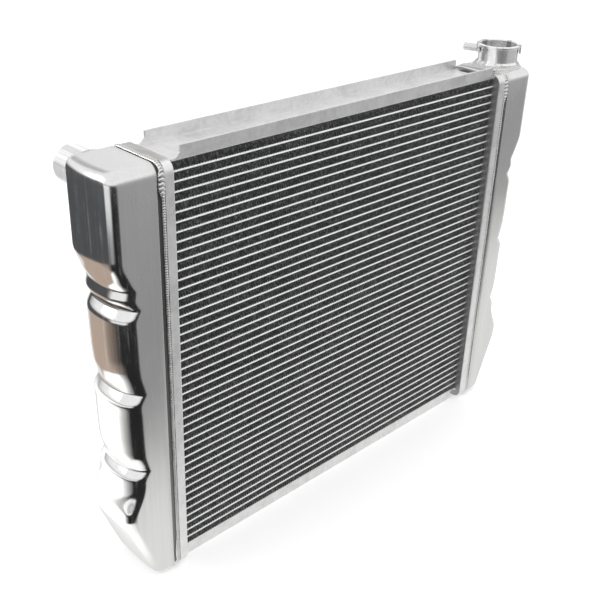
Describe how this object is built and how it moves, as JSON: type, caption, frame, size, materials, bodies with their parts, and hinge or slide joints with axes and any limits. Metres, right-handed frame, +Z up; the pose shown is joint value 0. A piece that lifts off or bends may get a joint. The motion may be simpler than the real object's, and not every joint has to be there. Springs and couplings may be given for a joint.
{
  "type": "car radiator",
  "caption": "Fabricated aluminium cross-flow radiator: two-row flat-tube and fin core, grooved side tanks, side channels, open cam-rim filler neck, hose necks and a drain cock.",
  "frame": {"origin": "the middle of the underside of the bottom channel's web, the face a rubber saddle carries", "axes": "X runs across the radiator, along the tubes; -Y is the face the air meets first; +Y is the engine side, where the hose necks are; Z is up, with the filler neck on top"},
  "size_m": [0.6385, 0.1202, 0.495],
  "materials": {
    "tube": "drawn flat aluminium tube, bright",
    "fin": "thin bare fin stock, dull and dark between the tubes",
    "mill_sheet": "mill-finish sheet, slightly mottled",
    "polished_tank": "polished stamped sheet with a faint vertical grain",
    "weld": "as-welded TIG bead, bright ripples with dull edges",
    "machined": "turned and polished billet",
    "tap_brass": "plain turned brass, lightly dulled",
    "seal_rubber": "black nitrile ring"
  },
  "bodies": {
    "root": {"core_tubes_front": "tube", "core_tubes_rear": "tube", "core_fins": "fin", "header_left": "mill_sheet", "header_right": "mill_sheet", "tank_left": "polished_tank", "tank_right": "polished_tank", "seam_weld_left": "weld", "seam_weld_right": "weld", "top_channel": "mill_sheet", "bottom_channel": "mill_sheet", "channel_welds": "weld", "filler_neck": "machined", "filler_neck_weld": "weld", "overflow_nipple": "machined", "inlet_neck": "machined", "inlet_neck_weld": "weld", "outlet_neck": "machined", "outlet_neck_weld": "weld", "drain_bung": "machined", "drain_bung_weld": "weld", "drain_cock_body": "tap_brass"},
    "drain_travel": {"drain_cock_seal": "seal_rubber"},
    "drain_stem": {"drain_cock_stem": "tap_brass"}
  },
  "joints": [
    {"name": "drain_screw_out", "type": "slide", "parent": "root", "child": "drain_travel", "axis": [0, 1, 0], "range_m": [0, 0.003]},
    {"name": "drain_turn", "type": "hinge", "parent": "drain_travel", "child": "drain_stem", "pos_m": [-0.277, 0.06, 0.032], "axis": [0, 1, 0], "range_deg": [0, 720]}
  ],
  "couplings": [
    {"joint": "drain_turn", "follows": "drain_screw_out", "rad_per_m": 4188.8}
  ]
}
